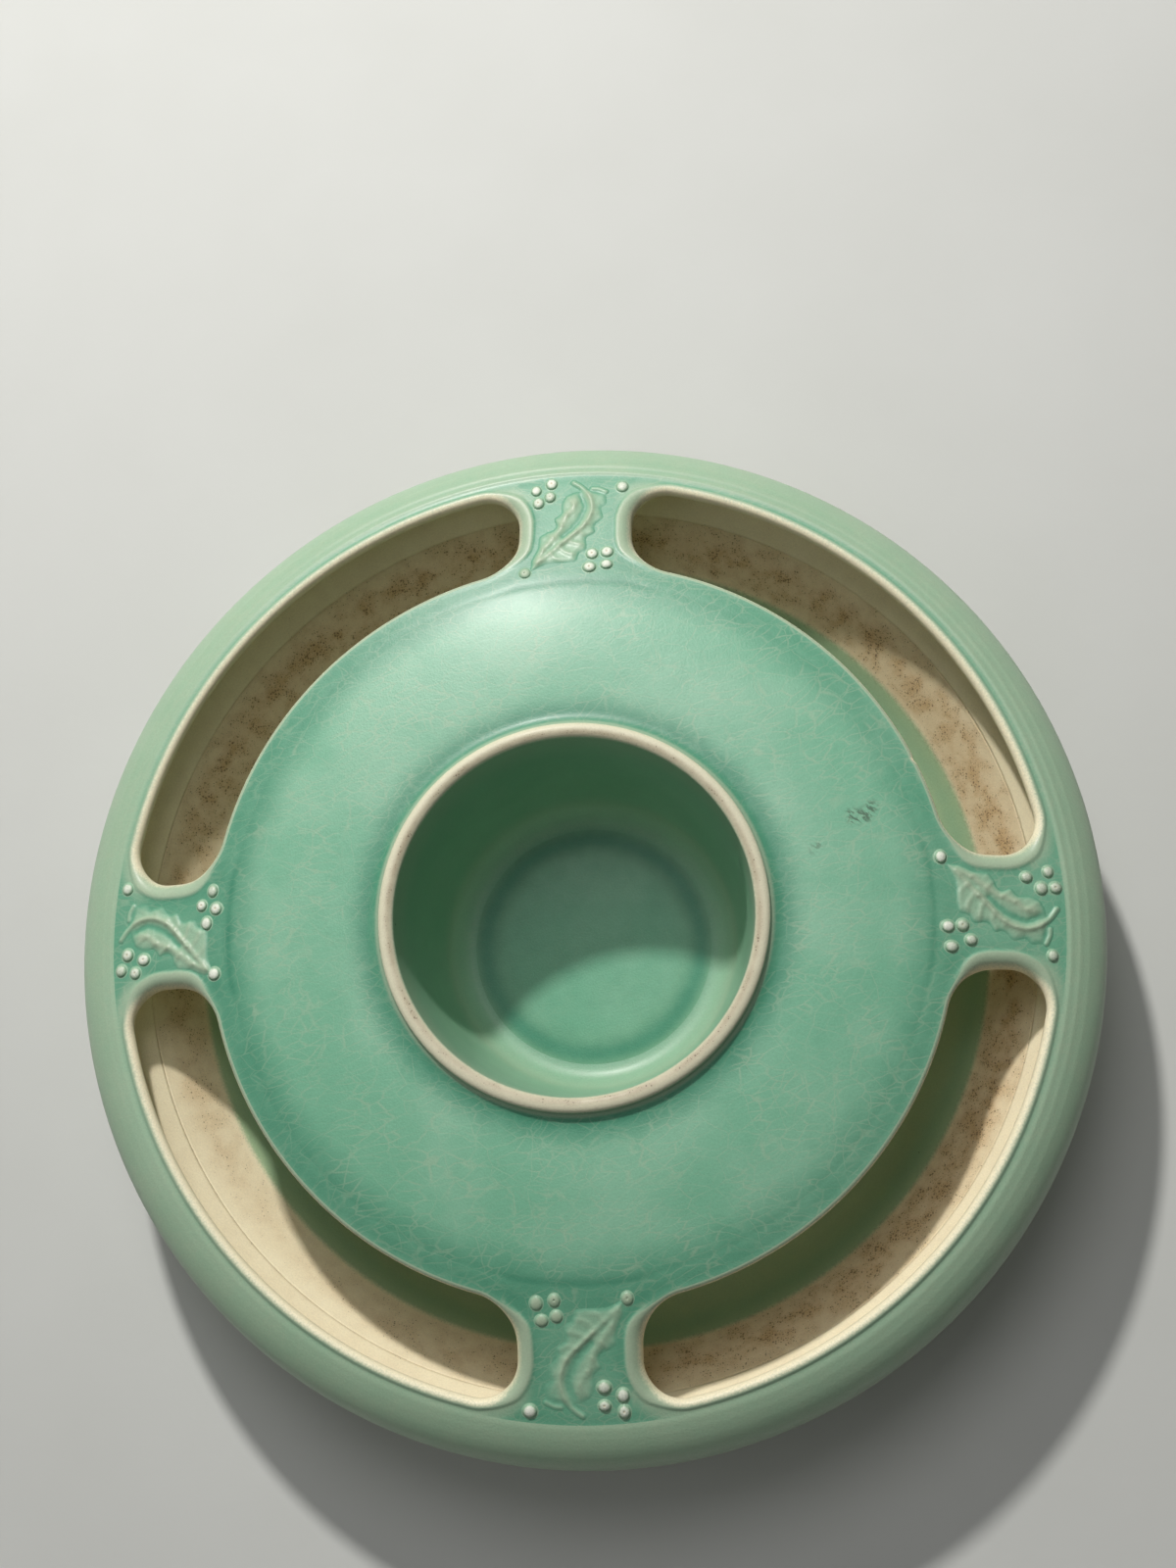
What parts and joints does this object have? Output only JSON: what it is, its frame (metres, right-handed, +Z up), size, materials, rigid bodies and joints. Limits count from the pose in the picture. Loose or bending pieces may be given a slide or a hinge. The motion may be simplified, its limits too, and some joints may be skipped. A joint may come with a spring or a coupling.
{
  "type": "flower frog",
  "caption": "Round pottery flower bowl with a pierced cover, arc slots for stems round its edge and an open well in the middle.",
  "frame": {"origin": "on the table under the well's axis, in the plane of the foot ring", "axes": "+Z up out of the well, +Y towards the north bridge, +X towards the east bridge"},
  "size_m": [0.25, 0.25, 0.062],
  "materials": {
    "cover_glaze": "satin crackle glaze",
    "bowl_glaze": "satin crackle glaze outside, cream inside",
    "well_glaze": "satin crackle glaze, thin at the rim",
    "bare_clay": "unglazed, worn",
    "leaf_glaze": "satin glaze, thin on the high lines",
    "berry_glaze": "satin glaze, almost white on top"
  },
  "bodies": {
    "root": {"lower_bowl": "bowl_glaze", "foot_ring": "bare_clay", "pierced_cover": "cover_glaze", "centre_well": "well_glaze", "leaf_east": "leaf_glaze", "leaf_north": "leaf_glaze", "leaf_west": "leaf_glaze", "leaf_south": "leaf_glaze", "berries_east": "berry_glaze", "berries_north": "berry_glaze", "berries_west": "berry_glaze", "berries_south": "berry_glaze"}
  },
  "joints": []
}
